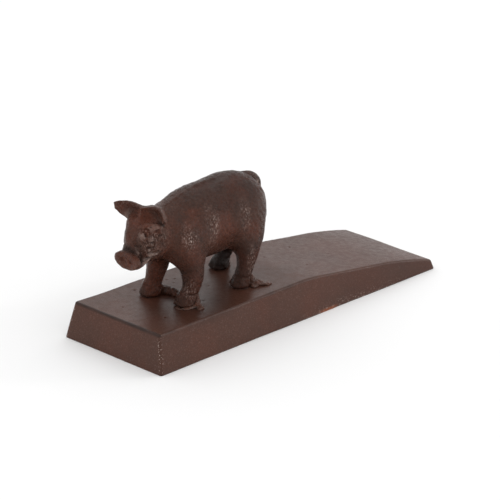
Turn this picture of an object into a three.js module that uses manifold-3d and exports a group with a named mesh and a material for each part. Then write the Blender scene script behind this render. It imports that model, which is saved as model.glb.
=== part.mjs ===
// A cast-iron door stop: a long hollow wedge casting with a small standing pig on its flat deck.
// The pig is a separate casting, and four short weld beads hold its feet to the deck.
//
// Millimetres, +Z up. The origin is the middle of the wedge's footprint, on the floor.
// +X runs to the thin tip that slides under the door, and the pig faces -X.

import * as THREE from 'three';
import { mergeVertices } from 'three/addons/utils/BufferGeometryUtils.js';
import Module from 'manifold-3d';

const wasm = await Module();
wasm.setup();

// ---- Driving dimensions -------------------------------------------------------------------

const LENGTH = 150;
const THICK_END_WIDTH = 51.3;
const THIN_END_WIDTH = 47.4;
const DECK_HEIGHT = 14.5;
const TIP_HEIGHT = 4.1;

const END_DRAFT = 2.2;      // lean of the thick end's face over the deck height
const SIDE_DRAFT = 3.2;     // lean of each side over the deck height
const TIP_DRAFT = 1.2;

const DECK_END_X = 2;       // the deck bends down here
const RAMP_START_X = 12.3;
const RAMP_END_X = 50;
const RAMP_START_HEIGHT = 13.8;
const RAMP_END_HEIGHT = 9.05;

const WALL = 4.6;           // thickness of the hollow wedge's walls and roof
const HOLLOW_END_X = 45;    // the wedge is solid from here to its tip
const HOLLOW_DRAFT = 1.2;

const PIG_X = -34;          // middle of the pig's trunk, from the middle of the wedge
const WELD_GAP = 0.3;       // clearance between a weld bead and the foot that it holds
const ROUND_SEGMENTS = 16;
const CURVE_SEGMENTS = 6;
const LIMB_SIDES = 12;

const RUST_BROWN = 0x5c4038;
const DARK_BROWN = 0x50382f;

// ---- Solids: geometry to manifold and back ---------------------------------------------------

function toSolid(geometry) {
  const bare = geometry.index ? geometry : geometry.clone();
  bare.deleteAttribute('normal');
  bare.deleteAttribute('uv');
  const merged = mergeVertices(bare, 1e-4);
  const mesh = new wasm.Mesh({
    numProp: 3,
    vertProperties: new Float32Array(merged.attributes.position.array),
    triVerts: new Uint32Array(merged.index.array),
  });
  return new wasm.Manifold(mesh);
}

function toGeometry(solid) {
  const mesh = solid.getMesh();
  const geometry = new THREE.BufferGeometry();
  geometry.setAttribute('position', new THREE.BufferAttribute(new Float32Array(mesh.vertProperties), 3));
  geometry.setIndex(new THREE.BufferAttribute(new Uint32Array(mesh.triVerts), 1));
  geometry.computeVertexNormals();
  return geometry;
}

function joined(solids) {
  return solids.reduce((whole, piece) => whole.add(piece));
}

function casting(name, solid, color) {
  const material = new THREE.MeshStandardMaterial({ color, roughness: 0.5, metalness: 0.6 });
  const mesh = new THREE.Mesh(toGeometry(solid), material);
  mesh.name = name;
  return mesh;
}

// ---- Basic forms ------------------------------------------------------------------------------

// An egg-shaped lump: centre, radii, and a pitch in degrees about the Y axis (positive lifts -X).
function lump([x, y, z], [rx, ry, rz], pitch = 0, yaw = 0) {
  const geometry = new THREE.SphereGeometry(1, ROUND_SEGMENTS, ROUND_SEGMENTS / 2 + 2);
  geometry.rotateX(Math.PI / 2);
  geometry.scale(rx, ry, rz);
  geometry.rotateY(THREE.MathUtils.degToRad(pitch));
  geometry.rotateZ(THREE.MathUtils.degToRad(yaw));
  geometry.translate(x, y, z);
  return toSolid(geometry);
}

// A limb segment: a cone from one point to another with a rounded cap at each end.
function limb(from, fromRadius, to, toRadius) {
  const start = new THREE.Vector3(...from);
  const end = new THREE.Vector3(...to);
  const axis = end.clone().sub(start);
  const length = axis.length();
  const lean = Math.asin((fromRadius - toRadius) / length);
  const profile = [];
  for (let i = 0; i <= CURVE_SEGMENTS / 2; i++) {
    const angle = -Math.PI / 2 + (Math.PI / 2 + lean) * (2 * i / CURVE_SEGMENTS);
    profile.push(new THREE.Vector2(fromRadius * Math.cos(angle), fromRadius * Math.sin(angle)));
  }
  for (let i = 0; i <= CURVE_SEGMENTS / 2; i++) {
    const angle = lean + (Math.PI / 2 - lean) * (2 * i / CURVE_SEGMENTS);
    profile.push(new THREE.Vector2(toRadius * Math.cos(angle), length + toRadius * Math.sin(angle)));
  }
  profile[0].x = 0;
  profile[profile.length - 1].x = 0;
  const geometry = new THREE.LatheGeometry(profile, LIMB_SIDES);
  const turn = new THREE.Quaternion().setFromUnitVectors(new THREE.Vector3(0, 1, 0), axis.normalize());
  geometry.applyQuaternion(turn);
  geometry.translate(...from);
  return toSolid(geometry);
}

// A chain of limb segments through a list of [point, radius].
function limbs(stations) {
  const parts = [];
  for (let i = 0; i + 1 < stations.length; i++) {
    parts.push(limb(stations[i][0], stations[i][1], stations[i + 1][0], stations[i + 1][1]));
  }
  return joined(parts);
}

// ---- Wedge casting ------------------------------------------------------------------------------

function halfWidth(x) {
  const along = x / LENGTH + 0.5;
  return THREE.MathUtils.lerp(THICK_END_WIDTH, THIN_END_WIDTH, along) / 2;
}

function wedgeProfile() {
  const halfLength = LENGTH / 2;
  const shape = new THREE.Shape();
  shape.moveTo(-halfLength, 0);
  shape.lineTo(-halfLength + END_DRAFT, DECK_HEIGHT);
  shape.lineTo(DECK_END_X, DECK_HEIGHT);
  shape.quadraticCurveTo(DECK_END_X + 4.5, DECK_HEIGHT, RAMP_START_X, RAMP_START_HEIGHT);
  shape.lineTo(RAMP_END_X, RAMP_END_HEIGHT);
  shape.quadraticCurveTo(62, 7.2, halfLength - 1.8, TIP_HEIGHT);
  shape.quadraticCurveTo(halfLength - TIP_DRAFT + 0.3, TIP_HEIGHT - 0.4, halfLength - 0.4, 1.6);
  shape.lineTo(halfLength, 0);
  shape.closePath();
  return shape;
}

function hollowProfile() {
  const start = -LENGTH / 2 + WALL + 0.3;
  const roofSlope = (RAMP_START_HEIGHT - RAMP_END_HEIGHT) / (RAMP_END_X - RAMP_START_X);
  const endRoof = RAMP_START_HEIGHT - roofSlope * (HOLLOW_END_X - RAMP_START_X) - WALL;
  const shape = new THREE.Shape();
  shape.moveTo(start, -1);
  shape.lineTo(start + HOLLOW_DRAFT, DECK_HEIGHT - WALL);
  shape.lineTo(DECK_END_X, DECK_HEIGHT - WALL);
  shape.lineTo(RAMP_START_X, RAMP_START_HEIGHT - WALL);
  shape.lineTo(HOLLOW_END_X, endRoof);
  shape.lineTo(HOLLOW_END_X + 2.5, -1);
  shape.closePath();
  return shape;
}

// Extrudes a side profile across the wedge's width, then narrows it to its plan taper and draft.
function extrudeAcross(shape, inset, draft) {
  const settings = { depth: 2, bevelEnabled: false, curveSegments: CURVE_SEGMENTS };
  const geometry = new THREE.ExtrudeGeometry(shape, settings);
  geometry.translate(0, 0, -1);
  geometry.rotateX(Math.PI / 2);
  const position = geometry.attributes.position;
  for (let i = 0; i < position.count; i++) {
    const side = -Math.sign(position.getY(i));
    const width = halfWidth(position.getX(i)) - inset - draft * position.getZ(i) / DECK_HEIGHT;
    position.setY(i, -side * width);
  }
  return toSolid(geometry);
}

function wedgeCasting() {
  const block = extrudeAcross(wedgeProfile(), 0, SIDE_DRAFT);
  const hollow = extrudeAcross(hollowProfile(), WALL, SIDE_DRAFT);
  return block.subtract(hollow);
}

// ---- Pig casting --------------------------------------------------------------------------------
// The pig's own frame: on the deck, below the middle of its trunk. Its left side is -Y.

const LEGS = {
  left_front: [
    [[-10, -5.8, 23], 5.8],
    [[-9.4, -8.4, 16.5], 4.7],
    [[-9, -9, 11], 4.1],
    [[-10, -9, 6.2], 3.3],
    [[-11.7, -8.5, 2.9], 3.7],
    [[-12.4, -8.3, 0.6], 3.9],
  ],
  right_front: [
    [[-10.8, 5.4, 23], 5.8],
    [[-11.5, 7.4, 16.5], 4.6],
    [[-11.7, 7.6, 11.5], 3.9],
    [[-13.2, 7.8, 5.8], 3.3],
    [[-13.3, 8.4, 2.9], 3.7],
    [[-13.3, 8.6, 0.6], 3.9],
  ],
  left_hind: [
    [[19.4, -5.6, 21.5], 6.2],
    [[18.6, -8.8, 14.5], 4.8],
    [[17.4, -9.9, 9.1], 3.3],
    [[16.4, -9.9, 5], 3.1],
    [[15.6, -9.5, 2.4], 3.3],
    [[15, -9.4, 0.6], 3.5],
  ],
  right_hind: [
    [[22, 5.6, 21.5], 6.2],
    [[25, 8, 13.5], 4.6],
    [[26, 9, 7.5], 3],
    [[24.7, 9.4, 4.4], 3.1],
    [[23.6, 9.6, 2.4], 3.6],
    [[23, 9.7, 0.6], 3.8],
  ],
};

function torso() {
  return joined([
    lump([5.5, 0, 28.1], [24.5, 12.5, 14]),
    lump([18.8, 0, 29], [14.1, 12.5, 12.9]),
    lump([-3, 0, 26.4], [12.6, 11.6, 12.8]),
    lump([20.6, -6.4, 22.8], [8.6, 6.2, 11.2], -8),
    lump([22.4, 6.4, 22.8], [8.6, 6.2, 11.2], -8),
    lump([-10.6, -6, 24.2], [7.5, 6.5, 9.5]),
    lump([-10.6, 6, 24.2], [7.5, 6.5, 9.5]),
  ]);
}

function head() {
  const cheeks = [-1, 1].map((side) => lump([-24.2, side * 4.2, 28], [6.2, 4.4, 7], 25, side * 14));
  const browShelf = [-1, 1].map((side) => lump([-23.4, side * 4.4, 33], [4.5, 3.8, 3]));
  return joined([
    limb([-10, 0, 26.2], 10.6, [-21, 0, 28.8], 8.4),
    lump([-21.4, 0, 30.8], [7.2, 7.4, 8.1]),
    limb([-25.2, 0, 30.8], 5.3, [-31.8, 0, 25], 3.9),
    limb([-23, 0, 23], 5.4, [-32, 0, 20.4], 3),
    limb([-28.6, 0, 24.4], 4.4, [-32.4, 0, 22.5], 4.2),
    lump([-34.4, 0, 22], [1.6, 5.3, 4.2], 16),
    ...cheeks,
    ...browShelf,
  ]);
}

// An ear is a thick leaf that stands out sideways, with a cup cut into its front.
function ear(side) {
  const leaf = lump([-24, side * 7.4, 37.2], [2.6, 6.9, 3.6], 0, side * 16);
  const cup = lump([-27.2, side * 6.6, 36.6], [3.2, 5.4, 2.2], 0, side * 16);
  return leaf.subtract(cup);
}

function tail() {
  return limbs([
    [[25, 1.5, 38], 1.5],
    [[28.5, 1.5, 37.7], 1.6],
    [[31.8, 1.5, 36.5], 1.7],
    [[33.8, 1.5, 34.3], 1.6],
    [[34.7, 1.3, 31.9], 1.3],
    [[34.5, 1, 30], 0.9],
  ]);
}

// The room above the deck, in the pig's frame.
function aboveDeck() {
  const room = new THREE.BoxGeometry(LENGTH, THICK_END_WIDTH, 60);
  room.translate(0, 0, 30);
  return toSolid(room);
}

function pigCasting() {
  const legs = Object.values(LEGS).map(limbs);
  const body = joined([torso(), head(), ear(-1), ear(1), tail(), ...legs]);
  return body.intersect(aboveDeck());
}

// ---- Weld beads -----------------------------------------------------------------------------------

// A bead is a short row of overlapping drops, flat where it sits on the deck and open to its foot.
const WELDS = {
  left_front: [
    [[-15.6, -10.2, 0.4], [2.2, 2.6, 1.6]],
    [[-13, -12.4, 0.3], [3, 1.8, 1.4]],
  ],
  right_front: [
    [[-9.4, 7.4, 0.8], [2.4, 2.8, 2.2]],
    [[-8, 4, 0.5], [2.2, 2.8, 1.8]],
    [[-7.6, 0.8, 0.3], [2, 2.6, 1.4]],
  ],
  left_hind: [
    [[19.4, -10.4, 1.2], [1.8, 2.2, 2.6]],
    [[21.4, -12.8, 0.3], [2.4, 3, 1.2]],
  ],
  right_hind: [
    [[27.2, 10.6, 0.6], [2.4, 2.4, 1.8]],
    [[28.8, 12.2, 0.2], [2, 1.8, 1.1]],
  ],
};

function grown(stations, clearance) {
  return stations.map(([point, radius]) => [point, radius + clearance]);
}

function weldBead(corner) {
  const drops = WELDS[corner].map(([centre, radii]) => lump(centre, radii));
  const foot = limbs(grown(LEGS[corner], WELD_GAP));
  return joined(drops).intersect(aboveDeck()).subtract(foot);
}

// ---- Assembly -------------------------------------------------------------------------------------

const pigOnDeck = new THREE.Group();
pigOnDeck.position.set(PIG_X, 0, DECK_HEIGHT);
pigOnDeck.add(casting('pig_casting', pigCasting(), DARK_BROWN));
for (const corner of Object.keys(WELDS)) {
  pigOnDeck.add(casting(`weld_bead_${corner}`, weldBead(corner), DARK_BROWN));
}

const doorStop = new THREE.Group();
doorStop.add(casting('wedge_casting', wedgeCasting(), RUST_BROWN));
doorStop.add(pigOnDeck);

export default doorStop;
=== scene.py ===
"""Looks for a cast-iron door stop: a wedge with a small standing pig welded to its deck.

Each casting is sculpted as a distance field in millimetres, turned into a quad mesh, and finished
with a procedural rust-brown lacquer. Distance is negative inside the metal.
"""
import math

import bpy
import numpy as np
from mathutils import Matrix, Vector


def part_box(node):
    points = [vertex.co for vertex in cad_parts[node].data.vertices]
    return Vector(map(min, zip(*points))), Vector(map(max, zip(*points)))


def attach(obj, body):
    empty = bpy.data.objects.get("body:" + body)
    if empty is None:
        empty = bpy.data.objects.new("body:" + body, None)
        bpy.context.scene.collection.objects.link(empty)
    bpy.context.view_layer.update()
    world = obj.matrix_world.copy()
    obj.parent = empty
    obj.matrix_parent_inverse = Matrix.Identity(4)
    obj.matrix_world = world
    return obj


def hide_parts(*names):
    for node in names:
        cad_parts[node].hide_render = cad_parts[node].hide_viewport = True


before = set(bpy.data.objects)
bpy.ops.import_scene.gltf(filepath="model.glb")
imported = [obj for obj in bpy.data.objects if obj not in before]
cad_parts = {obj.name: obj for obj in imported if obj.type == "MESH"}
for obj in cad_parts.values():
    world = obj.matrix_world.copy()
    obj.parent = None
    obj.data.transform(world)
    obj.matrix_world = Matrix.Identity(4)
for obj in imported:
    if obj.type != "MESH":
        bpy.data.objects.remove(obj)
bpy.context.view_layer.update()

MM = 0.001
REAL = np.float32


# ---- Places taken from the frame ------------------------------------------------------------

def box_mm(node):
    low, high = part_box(node)
    return np.array(low) / MM, np.array(high) / MM


WEDGE_LOW, WEDGE_HIGH = box_mm("wedge_casting")
PIG_LOW, _ = box_mm("pig_casting")
LENGTH = WEDGE_HIGH[0] - WEDGE_LOW[0]
THICK_END_WIDTH = WEDGE_HIGH[1] - WEDGE_LOW[1]
DECK = WEDGE_HIGH[2]

# The pig is sculpted in a frame of its own: on the deck, below the middle of its trunk.
SNOUT_REACH = 36.59     # how far ahead of that middle the snout ends
PIG_ORIGIN = np.array([PIG_LOW[0] + SNOUT_REACH, 0, DECK])


# ---- Distance fields ------------------------------------------------------------------------

def smooth_min(a, b, blend):
    overlap = np.maximum(blend - np.abs(a - b), 0) / blend
    return np.minimum(a, b) - overlap * overlap * blend * 0.25


def smooth_max(a, b, blend):
    return -smooth_min(-a, -b, blend)


def carve(body, tool, blend):
    return smooth_max(body, -tool, blend)


def turned(points, pitch=0.0, yaw=0.0):
    """Points in axes that are pitched about Y and then yawed about Z, in degrees."""
    out = points
    for angle, first, second in ((yaw, 0, 1), (pitch, 2, 0)):
        if angle:
            c, s = math.cos(math.radians(angle)), math.sin(math.radians(angle))
            out = out.copy()
            u, v = out[:, first].copy(), out[:, second].copy()
            out[:, first] = c * u + s * v
            out[:, second] = c * v - s * u
    return out


FAR = 6.0    # a form further away than this isn't worked out exactly


def only_near(points, low, high, form):
    """Works a form out only where points are near its box, and calls the rest FAR away."""
    close = np.all((points > np.array(low) - FAR) & (points < np.array(high) + FAR), axis=1)
    out = np.full(len(points), FAR, REAL)
    if close.any():
        out[close] = form(points[close])
    return out


def egg(points, centre, radii, pitch=0.0, yaw=0.0):
    """Distance to an ellipsoid."""
    centre, radii = np.array(centre, REAL), np.array(radii, REAL)

    def form(p):
        local = turned(p - centre, pitch, yaw)
        near = np.linalg.norm(local / radii, axis=1)
        slope = np.linalg.norm(local / (radii * radii), axis=1)
        return near * (near - 1) / np.maximum(slope, 1e-6)

    reach = radii.max()
    return only_near(points, centre - reach, centre + reach, form)


def cone_distance(p, start, start_radius, end, end_radius):
    """Distance to a cone with round ends, worked out at every point."""
    start, end = np.array(start, REAL), np.array(end, REAL)
    axis = end - start
    length = float(np.linalg.norm(axis))
    axis = axis / length
    lean = (start_radius - end_radius) / length
    upright = math.sqrt(max(1 - lean * lean, 1e-6))
    local = p - start
    along = local @ axis
    across = np.linalg.norm(local - along[:, None] * axis, axis=1)
    height = np.clip(along + across * lean / upright, 0, length)
    radius = start_radius + (end_radius - start_radius) * height / length
    return np.sqrt((along - height) ** 2 + across ** 2) - radius


def bone(points, start, start_radius, end, end_radius):
    """Distance to a cone with round ends, worked out near it only."""
    reach = max(start_radius, end_radius)
    return only_near(points, np.minimum(start, end) - reach, np.maximum(start, end) + reach,
                     lambda p: cone_distance(p, start, start_radius, end, end_radius))


def curve_through(stations, steps):
    """A smooth run of (point, radius) through the given ones, by Catmull-Rom."""
    values = np.array([[*point, radius] for point, radius in stations], float)
    padded = np.vstack([2 * values[0] - values[1], values, 2 * values[-1] - values[-2]])
    out = []
    for i in range(1, len(padded) - 2):
        a, b, c, d = padded[i - 1:i + 3]
        for t in np.linspace(0, 1, steps, endpoint=False):
            out.append(0.5 * (2 * b + (c - a) * t + (2 * a - 5 * b + 4 * c - d) * t ** 2
                              + (3 * b - a - 3 * c + d) * t ** 3))
    out.append(values[-1])
    return out


def tube(points, stations, steps=6):
    """Distance to a round limb that runs smoothly through (point, radius) stations."""
    run = np.array(curve_through(stations, steps), REAL)
    reach = run[:, 3].max()

    def form(p):
        nearest = np.full(len(p), 1e6, REAL)
        radius = np.zeros(len(p), REAL)
        for a, b in zip(run, run[1:]):
            axis = b[:3] - a[:3]
            share = np.clip((p - a[:3]) @ axis / (axis @ axis), 0, 1)
            away = np.linalg.norm(p - a[:3] - share[:, None] * axis, axis=1)
            closer = away < nearest
            nearest[closer] = away[closer]
            radius[closer] = (a[3] + (b[3] - a[3]) * share)[closer]
        return nearest - radius

    return only_near(points, run[:, :3].min(0) - reach, run[:, :3].max(0) + reach, form)


LATTICE_SIZE = 64
LATTICE = np.random.default_rng(7).random((LATTICE_SIZE,) * 3).astype(REAL) * 2 - 1


def noise(points, size, stretch=(1, 1, 1), shift=0.0):
    """Smooth noise from -1 to 1, with features of the given size in millimetres."""
    q = points / (np.array(stretch, REAL) * size) + shift
    base = np.floor(q).astype(np.int32)
    t = q - base
    t = t * t * (3 - 2 * t)
    out = 0
    for corner in np.ndindex(2, 2, 2):
        weight = 1
        for axis, far in enumerate(corner):
            weight = weight * (t[:, axis] if far else 1 - t[:, axis])
        at = (base + corner) % LATTICE_SIZE
        out = out + weight * LATTICE[at[:, 0], at[:, 1], at[:, 2]]
    return out


def cast_skin(p):
    """The slight unevenness that sand leaves on iron."""
    return 0.1 * noise(p, 5.5) + 0.07 * noise(p, 1.3, shift=9.5) + 0.045 * noise(p, 0.7, shift=4.5)


def bristles(p):
    """Short strokes cut in the pattern, running down and back over the flank and the back."""
    strokes = noise(turned(p, pitch=-35), 0.75, stretch=(1, 1.2, 5), shift=2.5)
    cover = np.clip((p[:, 2] - 20) / 6, 0, 1) * np.clip((p[:, 0] + 20) / 4, 0, 1)
    return 0.11 * strokes * cover


# ---- Pig ------------------------------------------------------------------------------------
# Millimetres in the pig's frame: it faces -X, and its left side is -Y.

LEGS = {
    "left_front": [((-10, -5.8, 23), 5.8), ((-9.4, -8.4, 16.5), 4.7), ((-9, -9, 11), 4.1),
                   ((-10, -9, 6.2), 3.3), ((-11.7, -8.5, 2.9), 3.7), ((-12.4, -8.3, 0.6), 3.9)],
    "right_front": [((-10.4, 5.4, 23), 6), ((-11, 7.3, 16.5), 4.9), ((-11.2, 7.5, 11.5), 4.1),
                    ((-12.8, 7.8, 5.8), 3.3), ((-13.5, 8.4, 2.9), 3.8), ((-14, 8.5, 0.6), 4.1)],
    "left_hind": [((19.4, -5.6, 21.5), 6.2), ((19.2, -8.8, 14.8), 5), ((17.7, -9.9, 9.1), 3.4),
                  ((16.4, -9.9, 5), 3.1), ((15.6, -9.5, 2.4), 3.3), ((15, -9.4, 0.6), 3.5)],
    "right_hind": [((22, 5.6, 21.5), 6.2), ((25, 8, 13.5), 4.6), ((26, 9, 7.5), 3),
                   ((24.7, 9.4, 4.4), 3.1), ((23.6, 9.6, 2.4), 3.6), ((23, 9.7, 0.6), 3.8)],
}


def trunk(p):
    """The barrel with its belly, rump and chest, then a ham and a shoulder on each side."""
    d = egg(p, (5.5, 0, 27.9), (24.3, 12.4, 13.8))
    d = smooth_min(d, egg(p, (8, 0, 22.8), (12, 8.5, 9.8)), 3)
    d = smooth_min(d, egg(p, (19.1, 0, 29), (14, 12.7, 12.7)), 5)
    d = smooth_min(d, egg(p, (-3, 0, 26), (12, 11.2, 12.4)), 4)
    for side in (-1, 1):
        ham_x = 20.6 if side < 0 else 22.4
        d = smooth_min(d, egg(p, (ham_x, side * 6.4, 22.8), (8.4, 5.9, 11), -8), 3)
        d = smooth_min(d, egg(p, (-10.6, side * 6, 24.2), (7.2, 6.2, 9.2)), 4)
    return d


def neck(p):
    return bone(p, (-10, 0, 26.4), 10.4, (-20.6, 0, 29), 8.9)


def spine_seam(p):
    """The parting line of the mould, along the neck and the back."""
    return tube(p, [((-17, 0, 36.4), 0.7), ((-8, 0, 39), 0.7), ((2, 0, 41.3), 0.7),
                    ((12, 0, 41.6), 0.6), ((22, 0, 40.9), 0.5)])


def skull(p):
    """The head with its nose bridge, jaw, cheeks and temples."""
    d = egg(p, (-21.4, 0, 30.8), (7, 7.2, 7.9))
    d = smooth_min(d, bone(p, (-24.9, 0, 30.8), 5, (-30.4, 0, 24.2), 3), 2.5)
    d = smooth_min(d, bone(p, (-23, 0, 23.2), 5.4, (-30.4, 0, 20.4), 3.3), 2)
    for side in (-1, 1):
        far = side > 0
        cheek = (-24, side * (3.6 if far else 4.1), 27.2)
        d = smooth_min(d, egg(p, cheek, (6, 4.3, 6.4), 25, side * 12), 2)
        d = smooth_min(d, egg(p, (-23.4, side * 4.4, 33), (4.3, 3.7, 2.8)), 1.6)
    return d


def brow(p, side):
    """The ridge over the eye."""
    return tube(p, [((-29.1, side * 2.3, 33.5), 0.5), ((-28.2, side * 4.6, 34.1), 0.75),
                    ((-26.7, side * 6.2, 34.6), 0.85), ((-25.2, side * 7.6, 34.4), 0.85),
                    ((-23.8, side * 8.4, 33.2), 0.7)])


def cheek_rim(p, side):
    """The raised edge round the back and the bottom of the cheek."""
    return tube(p, [((-22.8, side * 7.4, 33.2), 0.7), ((-20.8, side * 7.6, 29.6), 0.95),
                    ((-22.4, side * 7.7, 26.6), 0.95), ((-25.2, side * 6.8, 24.8), 0.8),
                    ((-27.6, side * 5.8, 23.4), 0.6)])


def cheek_pad(p, side):
    return egg(p, (-25.8, side * (3.8 if side > 0 else 5.1), 28.4), (5.1, 3, 6.9), 24, side * 18)


FAR_CHEEK_ROUGHNESS = 0.15      # the far cheek's lumps, as a share of the near one's


def cheek_lumps(p, side):
    """How far the rough, lumpy metal of the cheek stands proud, in millimetres."""
    away = egg(p, (-26.3, side * 5.6, 28.8), (5.8, 5.2, 6.7))
    cover = np.clip(0.5 - away / 1.4, 0, 1) * np.clip((side * p[:, 1] - 1.5) / 1.5, 0, 1)
    lumps = np.abs(noise(p, 2.1, shift=1.7)) + 0.4 * np.abs(noise(p, 1, shift=5.2))
    return cover * (1.25 * lumps - 0.3) * (FAR_CHEEK_ROUGHNESS if side > 0 else 1)


SNOUT = (-34.4, 0, 21.1)    # middle of the snout's flat end
SNOUT_TILT = -4             # its pitch, in degrees
SNOUT_THICKNESS = 2.3
SNOUT_HALF_WIDTH = 6
SNOUT_HALF_HEIGHT = 3.5

# Two folds of skin with a groove behind each: distance behind the snout's flat end, height and width.
SNOUT_FOLDS = [(2.9, 0.5, 0.45), (3.9, -0.6, 0.4), (4.9, 0.5, 0.5), (6, -0.35, 0.5)]


def snout_frame(p):
    """Distance behind the snout's flat end, across it, and up it."""
    q = turned(p - np.array(SNOUT, REAL), pitch=SNOUT_TILT)
    return q[:, 0], q[:, 1], q[:, 2]


def muzzle(p):
    """The round nose that the snout's disc ends."""
    return bone(p, (-27, 0, 24.6), 4.8, (-30.4, 0, 22.6), 4.2)


def snout_folds(p):
    """How far the folds over the snout stand proud, in millimetres."""
    behind, _, up = snout_frame(p)
    folds = 0
    for place, height, width in SNOUT_FOLDS:
        folds = folds + height * np.exp(-((behind - place) / width) ** 2)
    return folds * np.clip((up + 1.5) / 1.5, 0, 1) * np.clip((6.5 - up) / 1.5, 0, 1)


def snout_disc(p):
    """The flat end of the snout: a thick oval plate with a raised rim."""
    behind, across, up = snout_frame(p)
    round_edge = np.sqrt((across / SNOUT_HALF_WIDTH) ** 2 + (up / SNOUT_HALF_HEIGHT) ** 2 + 1e-6)
    side = (round_edge - 1) * 3.6
    d = smooth_max(side, np.abs(behind - SNOUT_THICKNESS / 2) - SNOUT_THICKNESS / 2, 0.6)
    dish = egg(p, (-35.4, 0, 20.9), (1.4, 5, 2.7), SNOUT_TILT)
    return carve(d, dish, 0.5)


def nostril(p, side):
    return egg(p, (-34, side * 2.1, 21.3), (0.45, 0.8, 0.6), SNOUT_TILT)


def ear_crease(p, side):
    """The groove between the ear's lower edge and the brow."""
    return tube(p, [((-29.2, side * 1.2, 34.5), 0.4), ((-28.1, side * 3.2, 35.1), 0.65),
                    ((-26.9, side * 5, 35.8), 0.7), ((-25.3, side * 6.8, 35.8), 0.7),
                    ((-23.2, side * 8.5, 34.7), 0.5)])


def eyelid(p, side):
    """The thin groove over the eye."""
    return tube(p, [((-28.5, side * 5.3, 33.4), 0.2), ((-27.7, side * 6.7, 34), 0.32),
                    ((-25.8, side * 7.6, 33.5), 0.25)])


def eyeball(p, side):
    return egg(p, (-27, 5.5 if side > 0 else -6.7, 33), (1.2, 0.9, 0.8), 8)


def mouth(p, side):
    return tube(p, [((-33.4, side * 3.4, 19.6), 0.25), ((-31.2, side * 4.8, 20.8), 0.3),
                    ((-29, side * 5.6, 22.3), 0.3), ((-27.6, side * 6.8, 24.3), 0.2)])


def lip(p, side):
    """The lower lip, which runs back from under the snout to the cheek."""
    return tube(p, [((-33, side * 2, 18.4), 0.6), ((-31.4, side * 3.9, 19.3), 0.8),
                    ((-29.2, side * 5, 20.9), 0.75), ((-27.4, side * 6.2, 23), 0.6),
                    ((-26, side * 7, 24.8), 0.35)])


EAR_TIP = 13.8      # how far out from the middle the ears reach


def ear(p, side):
    """A thick leaf that stands out sideways from the top of the head, cupped forwards."""
    far = side > 0

    def form(p):
        out = side * p[:, 1]
        along = np.clip(out / EAR_TIP, 0, 1)
        if far:
            top = 37.6 + 3.6 * along - 2.6 * along ** 5
            bottom = 30.4 + 5.8 * along ** 3
        else:
            top = 39.6 + 1.2 * np.sin(np.pi * along) - 1.8 * along ** 3
            bottom = 34.4 + 3 * along ** 3
        middle, half = (top + bottom) / 2, (top - bottom) / 2
        height = np.clip((p[:, 2] - middle) / np.maximum(half, 0.3), -1.2, 1.2)
        front = -26 - 1.6 * along + 3.5 * np.sin(np.pi * along ** 0.75)
        front = front - np.where(height > 0, 1.3, 0.3) * height ** 2
        thickness = 3.2 - 1.9 * along
        back_edge = p[:, 0] - front - thickness
        d = smooth_max(0.85 * (front - p[:, 0]), 0.85 * back_edge, 0.8)
        d = smooth_max(d, np.abs(p[:, 2] - middle) - half, 1.2)
        return smooth_max(smooth_max(d, out - EAR_TIP, 1), -out - 0.4, 0.5)

    reach = (-31, min(-0.5 * side, 14 * side), 31.5), (-18, max(-0.5 * side, 14 * side), 42)
    return only_near(p, *reach, form)


def ear_hollow(p, side):
    """The deep cup under the front edge of the ear."""
    if side > 0:
        return egg(p, (-27.4, 6, 35.8), (3, 4.6, 1.5), 0, 12)
    return egg(p, (-28, -5.6, 36.6), (3.2, 5, 1.8), 0, -12)


def tail(p):
    return tube(p, [((25, 1.5, 38.2), 1.4), ((28.7, 1.5, 38.2), 1.5), ((32.2, 1.5, 36.9), 1.7),
                    ((34.3, 1.4, 34.6), 1.6), ((35.2, 1.2, 32), 1.3), ((34.9, 1, 30), 0.8)])


PASTERN = 4.7           # height of the crease above each hoof
CREASE_DEPTH = 0.35
SOLE_HEIGHT = 0.25      # the hooves end this far above the deck


def legs(p):
    """The four legs, with a crease above each hoof and lumpy hooves."""
    d = np.full(len(p), FAR, REAL)
    for stations in LEGS.values():
        d = smooth_min(d, tube(p, stations), 1.5)
    crease = np.exp(-((p[:, 2] - PASTERN + 0.6 * noise(p, 3, shift=6.5)) / 0.35) ** 2)
    d = d + CREASE_DEPTH * crease * np.clip(0.5 + noise(p, 3.5, shift=8.5), 0, 1)
    low = np.clip((7 - p[:, 2]) / 3, 0, 1)
    return d - 0.4 * low * noise(p, 1.7, shift=3.3)


def pig_form(points):
    p = (points - PIG_ORIGIN).astype(REAL)
    d = smooth_min(trunk(p), neck(p), 4)
    d = smooth_min(d, spine_seam(p), 0.5)
    d = smooth_min(d, skull(p), 2.2)
    d = smooth_min(d, muzzle(p), 0.8)
    d = smooth_max(d, SNOUT_THICKNESS - snout_frame(p)[0], 0.5) - snout_folds(p)
    d = smooth_min(d, snout_disc(p), 0.25)
    d = smooth_min(d, legs(p), 1.5 + 3 * np.clip((p[:, 2] - 9) / 8, 0, 1))
    d = smooth_min(d, tail(p), 1.2)
    for side in (-1, 1):
        d = smooth_min(d, ear(p, side), 1)
        d = carve(d, ear_hollow(p, side), 0.8)
        d = smooth_min(d, cheek_pad(p, side), 1.5)
        d = smooth_min(d, cheek_rim(p, side), 1)
        if side < 0:
            d = carve(smooth_min(d, brow(p, side), 1), ear_crease(p, side), 0.5)
        d = d - cheek_lumps(p, side)
        d = smooth_min(d, lip(p, side), 0.6)
        d = carve(d, mouth(p, side), 0.3)
        d = smooth_min(d, eyeball(p, side), 0.3)
        d = carve(d, eyelid(p, side), 0.2)
        d = carve(d, nostril(p, side), 0.4)
    d = d + cast_skin(p) + bristles(p)
    return smooth_max(d, SOLE_HEIGHT - p[:, 2], 1.2)


# ---- Weld beads -------------------------------------------------------------------------------
# Each bead is a run of drops, (centre, radii) in the pig's frame, that froze against its foot.

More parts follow.
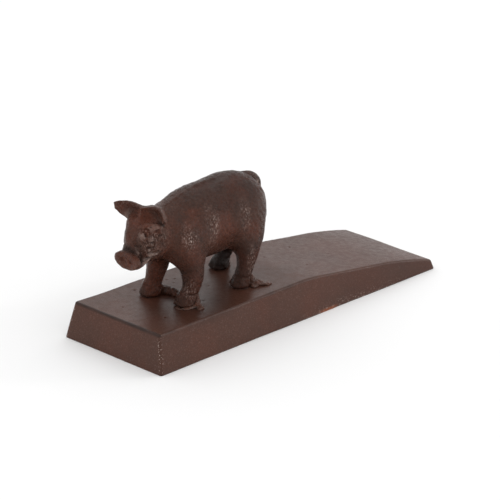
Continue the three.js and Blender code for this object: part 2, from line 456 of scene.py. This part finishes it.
WELDS = {
    "left_front": [((-14.6, -11.6, 0.1), (1.3, 1, 0.6)), ((-12.4, -12.4, 0.2), (1.5, 0.8, 0.5)),
                   ((-10.4, -12, 0.4), (1.5, 1.1, 0.9)),
                   ((-9, -11, 1), (1.4, 1.5, 1.8)), ((-8.4, -9.6, 2.4), (1.3, 1.7, 2.6)),
                   ((-8, -8.6, 4.6), (0.9, 1.3, 2)), ((-9.8, -13.6, 0.2), (1.2, 1.2, 0.5)),
                   ((-10.8, -14.9, 0.1), (1.7, 0.9, 0.4)), ((-16.3, -9.2, 0), (0.9, 1.7, 0.5))],
    "right_front": [((-10, 8, 1.2), (2, 2.2, 2.4)), ((-8.6, 5.4, 0.9), (1.9, 2.2, 2.1)),
                    ((-7.6, 2.8, 0.7), (1.7, 2, 1.9)), ((-7.4, 0.4, 0.5), (1.7, 2, 1.6)),
                    ((-7.9, -2.2, 0.4), (1.5, 2, 1.3)), ((-8.4, -4.6, 0.5), (1.3, 1.8, 1.3))],
    "left_hind": [((20, -10.6, 1.6), (1.5, 1.5, 2.4)), ((21.6, -12, 0.8), (1.8, 1.8, 1.1)),
                  ((23, -13.4, 0.4), (1.8, 1.6, 0.7)), ((24.6, -14.9, 0.2), (1.7, 1.1, 0.45)),
                  ((19.4, -13, 0.3), (1.7, 1.5, 0.6)), ((13.2, -6.8, 1.4), (1.3, 2.2, 2)),
                  ((12.6, -4.4, 0.5), (1.3, 2, 1)), ((12.4, -2.4, 0.1), (1, 1.4, 0.5))],
    "right_hind": [((27.2, 10.6, 0.8), (2, 2.2, 1.6)), ((28.8, 12.2, 0.3), (1.7, 1.6, 0.8)),
                   ((25.4, 13, 0.3), (1.6, 1.2, 0.7))],
}


def weld_form(corner):
    def form(points):
        p = (points - PIG_ORIGIN).astype(REAL)
        d = np.full(len(p), FAR, REAL)
        for centre, radii in WELDS[corner]:
            d = smooth_min(d, egg(p, centre, radii), 1.3)
        d = d + 0.16 * noise(p, 1.2) + 0.1 * noise(p, 0.6, shift=4.5)
        return smooth_max(d, -p[:, 2], 0.2)
    return form


# ---- Wedge ------------------------------------------------------------------------------------

DECK_END = 2.0              # where the deck starts to bend down, from the wedge's middle
RAMP_TOP = (12.3, 13.8)     # (distance from the middle, height)
RAMP_FOOT = (50.0, 9.05)
TIP = (73.6, 4.0)
THIN_END_WIDTH = 47.4
SIDE_DRAFT = 3.2            # how far each side, the thick end and the tip lean in, foot to top
END_DRAFT = 2.2
TIP_DRAFT = 1.2
SIDE_ROUNDING = 0.9         # blends of the side, end and top edges
TOP_ROUNDING = 0.6
WALL = 4.6
HOLLOW_END = 45.0


def bend(start, corner, end, steps=12):
    t = np.linspace(0, 1, steps)[:, None]
    return (1 - t) ** 2 * np.array(start) + 2 * t * (1 - t) * np.array(corner) + t ** 2 * np.array(end)


ROOF = np.vstack([
    [(-LENGTH, DECK)],
    bend((DECK_END, DECK), (6.5, DECK), RAMP_TOP),
    bend(RAMP_FOOT, (62, 7.2), TIP),
    [(LENGTH / 2 + 5, 0)],
])


def roof_height(x):
    return np.interp(x, ROOF[:, 0], ROOF[:, 1]).astype(REAL)


def half_width_at(x):
    """Half the wedge's width at its foot, which narrows towards the tip."""
    return THICK_END_WIDTH / 2 + (THIN_END_WIDTH - THICK_END_WIDTH) / 2 * (x / LENGTH + 0.5)


def wedge_block(p, inset):
    """Distance to the drafted, tapered block, shrunk by an inset on its top, sides and thick end."""
    x, y, z = p[:, 0], p[:, 1], p[:, 2]
    rise = z / DECK
    sides = np.abs(y) - half_width_at(x) + SIDE_DRAFT * rise + inset
    top = (z - roof_height(x) + inset) * 0.985
    thick_end = -x - LENGTH / 2 + END_DRAFT * rise + inset
    d = smooth_max(sides, thick_end, SIDE_ROUNDING)
    return smooth_max(d, top, TOP_ROUNDING)


# Small sand holes in the deck and the ramp: (x, y) in the pig's frame, and radius.
PITS = [(-15.2, 15.5, 0.55), (0.2, 14.4, 0.4), (3.1, 13.1, 0.35), (0, 10.4, 0.4), (-3.8, 11.3, 0.35),
        (7.3, -0.8, 0.35), (-4.4, -10, 0.35), (-26, -12, 0.35), (44, 6, 0.4), (52, -9, 0.35),
        (63, 11, 0.45), (70, -3, 0.35), (31, 13, 0.35), (-30, 6, 0.3)]


def pits(p):
    d = np.full(len(p), FAR, REAL)
    for x, y, radius in PITS:
        place = PIG_ORIGIN[:2] + (x, y)
        at = (place[0], place[1], roof_height(place[0]) + 0.1)
        d = np.minimum(d, egg(p, at, (radius * 1.2, radius, radius)))
    return d


def wedge_form(points):
    p = points.astype(REAL)
    x, z = p[:, 0], p[:, 2]
    uneven = 0.14 * noise(p, 17, shift=3.5)
    tip = x - LENGTH / 2 + TIP_DRAFT * z / TIP[1]
    d = smooth_max(wedge_block(p, 0) + uneven, tip, SIDE_ROUNDING)
    hollow = smooth_max(wedge_block(p, WALL), x - HOLLOW_END - 0.3 * (DECK - z), 3)
    d = carve(d, hollow, 1.2)
    d = carve(d, pits(p), 0.3)
    return smooth_max(d, -z, 0.4)


# ---- Grid and mesh ---------------------------------------------------------------------------

BLOCK = 4           # fine steps to a coarse block
CHUNK = 200000      # points worked out at a time
CLOSE = 1.6         # coarse blocks from the surface that are worked out finely
AWAY = 10           # what stands for the distance anywhere else


def in_chunks(form, points):
    parts = np.array_split(points, max(1, len(points) // CHUNK))
    return np.concatenate([form(part) for part in parts])


def sampled(form, low, high, step):
    """A grid of distances that is exact only close to the surface."""
    low, high = np.array(low, float), np.array(high, float)
    block = step * BLOCK
    counts = np.ceil((high - low) / block).astype(int)
    axes = [low[i] + (np.arange(counts[i]) + 0.5) * block for i in range(3)]
    centres = np.stack(np.meshgrid(*axes, indexing="ij"), -1).reshape(-1, 3).astype(REAL)
    rough = in_chunks(form, centres).reshape(counts)
    side = np.ones((BLOCK, BLOCK, BLOCK), REAL)
    field = np.full(counts * BLOCK + 1, AWAY, REAL)
    field[:-1, :-1, :-1] = np.kron(np.sign(rough), side * AWAY)
    close = np.kron(np.abs(rough) < block * CLOSE, side).astype(bool)
    marked = np.zeros(field.shape, bool)
    for corner in np.ndindex(2, 2, 2):
        window = tuple(slice(c, n + c) for c, n in zip(corner, close.shape))
        marked[window] |= close
    spots = np.argwhere(marked)
    field[tuple(spots.T)] = in_chunks(form, (low + spots * step).astype(REAL))
    return field, low


def surface_net(field, low, step):
    """Naive surface nets: one vertex in each crossed cell, and one quad for each crossed grid edge."""
    cells = np.array(field.shape) - 1
    ids, hits, quads = [], [], []
    for axis in range(3):
        before, after = [slice(None)] * 3, [slice(None)] * 3
        before[axis], after[axis] = slice(0, -1), slice(1, None)
        a, b = field[tuple(before)], field[tuple(after)]
        u, v = (axis + 1) % 3, (axis + 2) % 3
        spots = np.argwhere((a < 0) != (b < 0))
        inner = (spots[:, [u, v]] > 0) & (spots[:, [u, v]] < cells[[u, v]])
        spots = spots[inner.all(axis=1)]
        start, end = a[tuple(spots.T)], b[tuple(spots.T)]
        hit = spots.astype(float)
        hit[:, axis] += start / (start - end)
        ring = []
        for du, dv in ((0, 0), (1, 0), (1, 1), (0, 1)):
            cell = spots.copy()
            cell[:, u] -= du
            cell[:, v] -= dv
            ring.append((cell[:, 0] * cells[1] + cell[:, 1]) * cells[2] + cell[:, 2])
            hits.append(hit)
        quad = np.stack(ring, 1)
        quad[start > 0] = quad[start > 0][:, ::-1]
        ids.extend(ring)
        quads.append(quad)
    used, place = np.unique(np.concatenate(ids), return_inverse=True)
    hits = np.concatenate(hits)
    sums = np.stack([np.bincount(place, hits[:, k]) for k in range(3)], 1)
    vertices = low + step * sums / np.bincount(place)[:, None]
    return vertices, np.searchsorted(used, np.concatenate(quads))


def slopes(form, points, reach):
    """The form's gradient at each point."""
    out = np.empty((len(points), 3), REAL)
    for axis in range(3):
        offset = np.zeros(3, REAL)
        offset[axis] = reach
        out[:, axis] = (in_chunks(form, points + offset) - in_chunks(form, points - offset)) / (2 * reach)
    return out


def settled(form, vertices, step):
    """Moves each vertex onto the true surface, by no more than half a step."""
    points = vertices.astype(REAL)
    distance = in_chunks(form, points)
    slope = slopes(form, points, step / 2)
    move = slope * (distance / np.maximum((slope ** 2).sum(1), 0.2))[:, None]
    size = np.linalg.norm(move, axis=1, keepdims=True)
    return points - move * np.minimum(1, step / 2 / np.maximum(size, 1e-9))


def add_object(name, data):
    item = bpy.data.objects.new(name, data)
    bpy.context.scene.collection.objects.link(item)
    return item


def sculpted(name, form, low, high, step):
    """Turns a distance field into a Blender object with shelter and exposure painted on its vertices."""
    field, corner = sampled(form, low, high, step)
    vertices, faces = surface_net(field, corner, step)
    vertices = settled(form, vertices, step)
    mesh = bpy.data.meshes.new(name)
    mesh.vertices.add(len(vertices))
    mesh.vertices.foreach_set("co", (vertices * MM).astype(REAL).ravel())
    mesh.loops.add(faces.size)
    mesh.loops.foreach_set("vertex_index", faces.astype(np.int32).ravel())
    mesh.polygons.add(len(faces))
    mesh.polygons.foreach_set("loop_start", np.arange(0, faces.size, 4, dtype=np.int32))
    mesh.update(calc_edges=True)
    mesh.polygons.foreach_set("use_smooth", np.ones(len(faces), bool))
    paint_relief(mesh, form, vertices, step)
    return add_object(name, mesh)


def store(mesh, label, values):
    layer = mesh.attributes.new(label, "FLOAT", "POINT")
    layer.data.foreach_set("value", values.astype(REAL))


RELIEF_REACH = 1.2      # how far out and in a vertex looks, in millimetres


def paint_relief(mesh, form, vertices, step):
    """Stores how sheltered (in a hollow) and how exposed (on an edge) each vertex is, from 0 to 1."""
    normal = slopes(form, vertices, step)
    normal /= np.maximum(np.linalg.norm(normal, axis=1, keepdims=True), 1e-6)
    above = in_chunks(form, vertices + normal * RELIEF_REACH)
    below = in_chunks(form, vertices - normal * RELIEF_REACH)
    store(mesh, "shelter", np.clip(1 - above / RELIEF_REACH, 0, 1))
    store(mesh, "exposure", np.clip(1 + below / RELIEF_REACH, 0, 1))


# ---- Materials --------------------------------------------------------------------------------

def linear(red, green, blue):
    """A colour given as it looks on a screen, 0 to 255, as the shader wants it."""
    return tuple(((c / 255 + 0.055) / 1.055) ** 2.4 for c in (red, green, blue)) + (1,)


class Nodes:
    """A short way to write a material's node tree."""

    def __init__(self, name):
        self.material = bpy.data.materials.new(name)
        self.material.use_nodes = True
        self.tree = self.material.node_tree
        self.shader = self.tree.nodes["Principled BSDF"]

    def add(self, kind, settings=(), **inputs):
        node = self.tree.nodes.new("ShaderNode" + kind)
        for key, value in dict(settings).items():
            setattr(node, key, value)
        for key, value in inputs.items():
            self.feed(node.inputs[key.replace("_", " ")], value)
        return node

    def feed(self, socket, value):
        if isinstance(value, bpy.types.NodeSocket):
            self.tree.links.new(value, socket)
        else:
            socket.default_value = value

    def place(self):
        """Position on the object, in millimetres."""
        at = self.add("TexCoord").outputs["Object"]
        return self.add("Mapping", Vector=at, Scale=(1 / MM,) * 3).outputs["Vector"]

    def noise(self, place, size, detail=3, roughness=0.55, stretch=(1, 1, 1), turn=(0, 0, 0)):
        mapped = self.add("Mapping", Vector=place, Scale=stretch, Rotation=turn).outputs["Vector"]
        return self.add("TexNoise", Vector=mapped, Scale=1 / size, Detail=detail,
                        Roughness=roughness).outputs["Fac"]

    def spread(self, value, low, high, out_low=0.0, out_high=1.0):
        node = self.add("MapRange", Value=value)
        node.inputs["From Min"].default_value = low
        node.inputs["From Max"].default_value = high
        node.inputs["To Min"].default_value = out_low
        node.inputs["To Max"].default_value = out_high
        return node.outputs["Result"]

    def math(self, operation, a, b):
        node = self.add("Math", {"operation": operation})
        self.feed(node.inputs[0], a)
        self.feed(node.inputs[1], b)
        return node.outputs["Value"]

    def mix(self, amount, a, b):
        node = self.add("Mix", {"data_type": "RGBA"})
        self.feed(node.inputs["Factor"], amount)
        self.feed(node.inputs[6], a)
        self.feed(node.inputs[7], b)
        return node.outputs[2]

    def mix_part(self, share, amount, a, b):
        """Mixes by an amount that is scaled down to a share of itself."""
        return self.mix(self.math("MULTIPLY", amount, share), a, b)

    def attribute(self, name):
        return self.add("Attribute", {"attribute_name": name}).outputs["Fac"]

    def bump(self, height, depth_mm, below=None):
        node = self.add("Bump", Height=height, Strength=1, Distance=depth_mm * MM)
        if below is not None:
            self.feed(node.inputs["Normal"], below)
        return node.outputs["Normal"]


BODY = linear(74, 45, 34)
RUST = linear(92, 48, 33)
# Dark brown for sand specks and bristle marks, and also the colour of painted shade and dark reflections.
DARK_AND_SHADE = linear(38, 24, 19)
UMBER = linear(60, 40, 32)
# Light worn metal, and the colour of painted glints and sheen on the pig.
LIGHT_WEAR_AND_GLINT = linear(170, 150, 141)
BARE = linear(150, 84, 50)


class Iron:
    """Lacquer on cast or weld iron: the strength of its patches, and how rough and glossy it is."""

    def __init__(self, name, patch_size, umber, rust, rub, grain, roughness, ior):
        self.name, self.patch_size = name, patch_size
        self.umber, self.rust, self.rub = umber, rust, rub
        self.grain, self.roughness, self.ior = grain, roughness, ior

    def patches(self, n, place):
        """Rusty and brown patches, with painted shade in the hollows."""
        rusty = n.spread(n.noise(place, self.patch_size, 4), 0.45, 0.6)
        color = n.mix_part(self.rust, rusty, BODY, RUST)
        shifted = n.add("Mapping", Vector=place, Location=(31, 17, 5)).outputs["Vector"]
        blotches = n.spread(n.noise(shifted, self.patch_size * 0.7, 5, 0.65), 0.47, 0.62)
        color = n.mix_part(self.umber, blotches, color, UMBER)
        # Painted shade: the more sheltered a hollow, the darker it is painted.
        shelter = n.spread(n.attribute("shelter"), 0.12, 0.8)
        return n.mix_part(0.8, shelter, color, DARK_AND_SHADE)

    def worn(self, n, place, color):
        """Edges worn to light specks."""
        speck = n.spread(n.noise(place, 0.5, 2, 0.6), 0.5, 0.66)
        exposed = n.spread(n.attribute("exposure"), 0.45, 0.9)
        return n.mix_part(self.rub, n.math("MULTIPLY", exposed, speck), color, LIGHT_WEAR_AND_GLINT)

    def grained(self, n, place, color):
        """Fine dark and light specks, the size of grains of sand."""
        grain = n.noise(place, 0.5, 2, 0.7)
        color = n.mix_part(0.3, n.spread(grain, 0.52, 0.64), color, DARK_AND_SHADE)
        return n.mix_part(0.1, n.spread(grain, 0.42, 0.32), color, LIGHT_WEAR_AND_GLINT)

    def own_wear(self, n, place, color):
        """What only one kind of piece shows, which is nothing on a weld."""
        return color

    def relief(self, n, place):
        return n.bump(n.noise(place, 0.42, 3, 0.65), self.grain)

    def material(self):
        n = Nodes(self.name)
        place = n.place()
        color = self.worn(n, place, self.patches(n, place))
        color = self.own_wear(n, place, self.grained(n, place, color))
        n.feed(n.shader.inputs["Base Color"], color)
        sheen = n.noise(place, 2.2, 3)
        roughness = n.spread(sheen, 0.35, 0.65, self.roughness - 0.05, self.roughness + 0.07)
        n.feed(n.shader.inputs["Roughness"], roughness)
        n.shader.inputs["IOR"].default_value = self.ior
        n.feed(n.shader.inputs["Normal"], self.relief(n, place))
        return n.material


class WedgeIron(Iron):
    """The wedge's lacquer: painted shade and dark reflections by the edges and round the pig's feet,
    light grit on the corners, and one bare scuff.
    """

    def own_wear(self, n, place, color):
        # Painted shade and dark reflections.
        color = n.mix(n.attribute("painted_shade_and_reflection"), color, DARK_AND_SHADE)
        grit = n.spread(n.noise(place, 0.6, 2, 0.5), 0.6, 0.68)
        color = n.mix(n.math("MULTIPLY", grit, n.attribute("grit")), color, LIGHT_WEAR_AND_GLINT)
        return n.mix(n.attribute("bare"), color, BARE)


class PigIron(Iron):
    """The pig's lacquer: short bristle marks, ruddy patches with painted light on the far front leg,
    painted shade, and light streaks of rubbed metal and painted glints.
    """

    BRISTLE_DEPTH = 0.4     # millimetres
    BRISTLE_LEAN = 35       # degrees

    def strokes(self, n, place):
        lean = (0, math.radians(self.BRISTLE_LEAN), 0)
        return n.noise(place, 0.34, 3, 0.7, stretch=(1, 1, 0.36), turn=lean)

    def relief(self, n, place):
        return n.bump(self.strokes(n, place), self.BRISTLE_DEPTH, below=super().relief(n, place))

    def own_wear(self, n, place, color):
        strokes = self.strokes(n, place)
        # Ruddy tone, with painted light on the far front leg.
        color = n.mix_part(0.7, n.attribute("red_tone_and_painted_light"), color, RUST)
        color = n.mix_part(0.5, n.spread(strokes, 0.5, 0.58), color, DARK_AND_SHADE)
        # Painted shade, and a darker back.
        color = n.mix(n.attribute("dark_back_and_painted_shade"), color, DARK_AND_SHADE)
        # Light rubbed metal and painted glints in the patches, along the strokes and on the tops of
        # lumps.
        proud = n.spread(n.attribute("exposure"), 0.3, 0.7)
        streaks = n.math("MAXIMUM", n.spread(strokes, 0.46, 0.36), proud)
        return n.mix_part(0.75, n.math("MULTIPLY", streaks, n.attribute("rub_and_glint")), color, LIGHT_WEAR_AND_GLINT)


# ---- Pieces -----------------------------------------------------------------------------------

def build(name, form, node, material, grid, margin):
    """Sculpts a piece on a grid that reaches a margin past its CAD node, and tells the frame about it."""
    low, high = box_mm(node)
    piece = sculpted(name, form, low - margin, high + margin, grid)
    piece.data.materials.append(material)
    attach(piece, "root")
    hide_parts(node)
    return piece


def ramp_mask(value, start, end):
    """0 at the start and before it, 1 at the end and past it. The end may be the lower value."""
    return np.clip((value - start) / (end - start), 0, 1)


def vertex_places(mesh):
    """The mesh's vertices, in millimetres."""
    flat = np.empty(len(mesh.vertices) * 3, REAL)
    mesh.vertices.foreach_get("co", flat)
    return flat.reshape(-1, 3) / MM


def inside(p, centre, radii, edge):
    """1 well inside an ellipsoid, 0 well outside."""
    q = (p - np.array(centre, REAL)) / np.array(radii, REAL)
    return ramp_mask(np.sqrt((q ** 2).sum(1)), 1 + edge, 1 - edge)


def paint_wear(wedge):
    """Where the wedge gets painted shade and dark reflections, and where it is gritty and scuffed bare,
    as point attributes.
    """
    mesh = wedge.data
    p = vertex_places(mesh)
    x, y, z = p.T
    patchy = 0.5 + 0.5 * noise(p, 3.1, shift=2.5)
    # How far each vertex is from the deck's edge at the thick end, and from its edges along the sides.
    brink = np.maximum(np.abs(x + LENGTH / 2 - END_DRAFT), np.abs(z - DECK))
    rim = half_width_at(x) - SIDE_DRAFT * z / DECK - np.abs(y)
    deck_edge = np.maximum(np.abs(rim), np.abs(z - roof_height(x)))
    # Painted dark reflections along the deck's edge at the thick end, and along its side edges short of
    # the ramp.
    painted_shade_and_reflection = ramp_mask(brink, 1.1, 0.5) * (0.6 + 0.4 * patchy)
    painted_shade_and_reflection = np.maximum(painted_shade_and_reflection, ramp_mask(deck_edge, 1.1, 0.5) * patchy * 0.6 * ramp_mask(x, 40, 5))
    # Painted dark reflection of the pig on the deck round the front feet, and painted shade on the sides
    # towards the tip.
    before_feet = inside(p, (PIG_ORIGIN[0] - 13, -12, DECK), (18, 11, 3), 0.5)
    thin_sides = ramp_mask(np.abs(rim), 0.8, 0.3) * ramp_mask(x, 5, 55)
    painted_shade_and_reflection = np.maximum(painted_shade_and_reflection, np.maximum(0.55 * before_feet, 0.3 * thin_sides))
    store(mesh, "painted_shade_and_reflection", painted_shade_and_reflection)
    # Grit catches the light on the thick end's corners, the ramp's far edge and low on the near side.
    corner = np.maximum(np.abs(rim), np.abs(x + LENGTH / 2 - END_DRAFT * z / DECK))
    grit = ramp_mask(corner, 1.2, 0.5) * 1.4
    far_ramp_edge = ramp_mask(deck_edge, 2, 0.3) * ramp_mask(x, 10, 60) * ramp_mask(y, 0, 15)
    grit = np.maximum(grit, far_ramp_edge)
    near_side = ramp_mask(-y, 15, 22)
    scuff = ramp_mask(z, 3.5, 0.5) * ramp_mask(np.abs(x - 28), 34, 6) * near_side
    grit = np.maximum(grit, scuff * 0.9)
    store(mesh, "grit", np.clip(grit, 0, 1))
    store(mesh, "bare", ramp_mask(z, 1.5, 0.3) * ramp_mask(np.abs(x - 14), 6, 2) * near_side * 0.8)


# Where the pig's high spots are rubbed to light metal, and where glints and sheen are painted on them:
# centre and radii on its left side, in its own frame, and how strongly. The right side mirrors them.
RUB_AND_GLINT_PATCHES = [
    ((-13, -11.8, 27.8), (2.6, 4, 5), 2),           # shoulder
    ((-1.6, -11.8, 30.5), (2.8, 4, 7.5), 1.4),      # flank
    ((14.4, -12.8, 29.5), (2.2, 4, 7.5), 0.8),      # ham
    ((17.4, -12.8, 10), (1.4, 4, 7), 0.8),          # hind leg
    ((-12.2, -11, 7), (1.9, 3.5, 5), 0.9),          # front leg
    ((-26, -6.5, 28.8), (5.4, 4.4, 6.4), 0.75),     # cheek
    ((-29, -5.5, 24), (3.2, 3, 3.6), 0.5),          # below the cheek
    ((-35.8, -2, 17.8), (2.5, 5, 1.3), 0.45),       # snout's lower edge
    ((-29.5, -5.5, 20.9), (5, 2, 2), 0.5),          # lip
    ((33, -0.5, 35), (4, 3, 4.5), 3),               # tail
]


def paint_hide(pig):
    """Where the pig gets light rubbed metal and painted glints, painted shade and a darker back, and
    ruddy tone with painted light on the far front leg, as point attributes.
    """
    mesh = pig.data
    p = vertex_places(mesh) - PIG_ORIGIN.astype(REAL)
    mirrored = p * np.array((1, -1, 1), REAL)
    rub_and_glint = np.zeros(len(p), REAL)
    for centre, radii, strength in RUB_AND_GLINT_PATCHES:
        rub_and_glint = np.maximum(rub_and_glint, strength * inside(p, centre, radii, 0.45))
        rub_and_glint = np.maximum(rub_and_glint, strength * inside(mirrored, centre, radii, 0.45))
    store(mesh, "rub_and_glint", rub_and_glint * np.clip(0.85 + 0.6 * noise(p, 3.4, shift=8.1), 0.3, 1.2))
    x, y, z = p.T
    patchy = 0.5 + 0.5 * noise(p, 6, shift=2.5)
    # Darker over the back; painted shade low on the body, on the far hind leg and in the groin, and a
    # painted dark reflection in the crease over the snout.
    back = ramp_mask(z, 29, 35) * ramp_mask(x, -10, 2)
    low = ramp_mask(z, 24, 15) * ramp_mask(x, -22, -18)
    dark_back_and_painted_shade = 0.35 * back + 0.45 * low * (0.6 + 0.4 * patchy)
    far_hind_leg = inside(p, (24, 9, 9), (8, 6.5, 13), 0.3)
    groin = inside(p, (18, -4, 16), (6, 6, 4.5), 0.5)
    nose_crease = inside(p, (-32.5, 0, 25.2), (1.8, 6.5, 1.6), 0.4)
    for spot in (far_hind_leg, 0.8 * groin, 0.6 * nose_crease):
        dark_back_and_painted_shade = np.maximum(dark_back_and_painted_shade, spot)
    # The far front leg is kept free of painted shade.
    unshaded_far_foreleg = inside(p, (-12.5, 8, 7), (6, 6, 12), 0.3)
    store(mesh, "dark_back_and_painted_shade", dark_back_and_painted_shade * (1 - unshaded_far_foreleg))
    ears = inside(p, (-27, 0, 36), (3.5, 13, 5), 0.3) * ramp_mask(-x, 23, 25)
    flank = inside(p, (4, -12, 23), (7, 6, 7), 0.5) * 0.6
    # Painted light: ruddy colour lifts the far front leg, which lies in shade.
    lit_far_foreleg = inside(p, (-14, 6, 9), (4, 5, 9), 0.4) * 0.8
    snout = inside(p, (-35, 0, 20.9), (3, 7, 5), 0.3) * 0.8
    store(mesh, "red_tone_and_painted_light", np.max((ears, flank, lit_far_foreleg, snout), axis=0))


wedge_iron = WedgeIron("wedge_lacquer", patch_size=26, umber=0.25, rust=0.25, rub=0.0,
                       grain=0.06, roughness=0.33, ior=1.31).material()
pig_iron = PigIron("pig_lacquer", patch_size=10, umber=0.6, rust=0.6, rub=0.6,
                   grain=0.22, roughness=0.26, ior=1.25).material()
weld_iron = Iron("weld_lacquer", patch_size=3, umber=0.8, rust=0.3, rub=0.25,
                 grain=0.14, roughness=0.28, ior=1.28).material()

wedge = build("wedge", wedge_form, "wedge_casting", wedge_iron, grid=0.5, margin=1)
paint_wear(wedge)
pig = build("pig", pig_form, "pig_casting", pig_iron, grid=0.3, margin=3)
paint_hide(pig)
for foot in WELDS:
    build("weld_" + foot, weld_form(foot), "weld_bead_" + foot, weld_iron, grid=0.16, margin=4)


# ---- Floor, light and camera --------------------------------------------------------------------

def towards(azimuth, elevation):
    """A unit vector out from the middle; azimuth is measured from -Y round to +X, in degrees."""
    a, e = math.radians(azimuth), math.radians(elevation)
    return Vector((math.sin(a) * math.cos(e), -math.cos(a) * math.cos(e), math.sin(e)))


def make_floor():
    half = 3.0
    corners = [(-half, -half, 0), (half, -half, 0), (half, half, 0), (-half, half, 0)]
    mesh = bpy.data.meshes.new("floor")
    mesh.from_pydata(corners, [], [(0, 1, 2, 3)])
    floor = add_object("floor", mesh)
    n = Nodes("pale_floor")
    n.shader.inputs["Base Color"].default_value = (0.9, 0.9, 0.9, 1)
    n.shader.inputs["Roughness"].default_value = 0.9
    floor.data.materials.append(n.material)


def make_light(name, azimuth, elevation, distance, size, power):
    light = bpy.data.lights.new(name, "AREA")
    light.shape = "DISK"
    light.size = size
    light.energy = power
    lamp = add_object(name, light)
    back = towards(azimuth, elevation)
    lamp.location = back * distance
    lamp.rotation_euler = back.to_track_quat("Z", "Y").to_euler()


HORIZON = 0.5       # how bright the studio is low down
OVERHEAD = 1.15     # and overhead
FULL_RISE = 0.4     # the sine of the elevation where it is as bright as overhead


def make_world():
    world = bpy.data.worlds.new("studio")
    bpy.context.scene.world = world
    world.use_nodes = True
    tree = world.node_tree
    background = tree.nodes["Background"]
    direction = tree.nodes.new("ShaderNodeTexCoord")
    split = tree.nodes.new("ShaderNodeSeparateXYZ")
    rise = tree.nodes.new("ShaderNodeMapRange")
    rise.interpolation_type = "SMOOTHSTEP"
    rise.inputs["From Min"].default_value = 0
    rise.inputs["From Max"].default_value = FULL_RISE
    rise.inputs["To Min"].default_value = HORIZON
    rise.inputs["To Max"].default_value = OVERHEAD
    tree.links.new(direction.outputs["Generated"], split.inputs["Vector"])
    tree.links.new(split.outputs["Z"], rise.inputs["Value"])
    tree.links.new(rise.outputs["Result"], background.inputs["Strength"])
    background.inputs["Color"].default_value = (1, 1, 1, 1)


CAMERA_AZIMUTH = -45.49
CAMERA_ELEVATION = 21.31
CAMERA_ROLL = 0.54
CAMERA_DISTANCE = 1.23
CAMERA_AIM = Vector((0.0032, 0.0071, 0.0186))
CAMERA_LENS = 232.9


def make_camera():
    data = bpy.data.cameras.new("camera")
    data.sensor_width = 36
    data.lens = CAMERA_LENS
    data.clip_start = 0.01
    data.clip_end = 20
    camera = add_object("camera", data)
    back = towards(CAMERA_AZIMUTH, CAMERA_ELEVATION)
    turn = back.to_track_quat("Z", "Y").to_matrix() @ Matrix.Rotation(math.radians(CAMERA_ROLL), 3, "Z")
    camera.matrix_world = Matrix.Translation(CAMERA_AIM + back * CAMERA_DISTANCE) @ turn.to_4x4()
    bpy.context.scene.camera = camera


make_floor()
make_world()
make_light("side_lamp", azimuth=52, elevation=14, distance=1.0, size=0.08, power=1.5)
make_camera()
bpy.context.scene.view_settings.view_transform = "Standard"
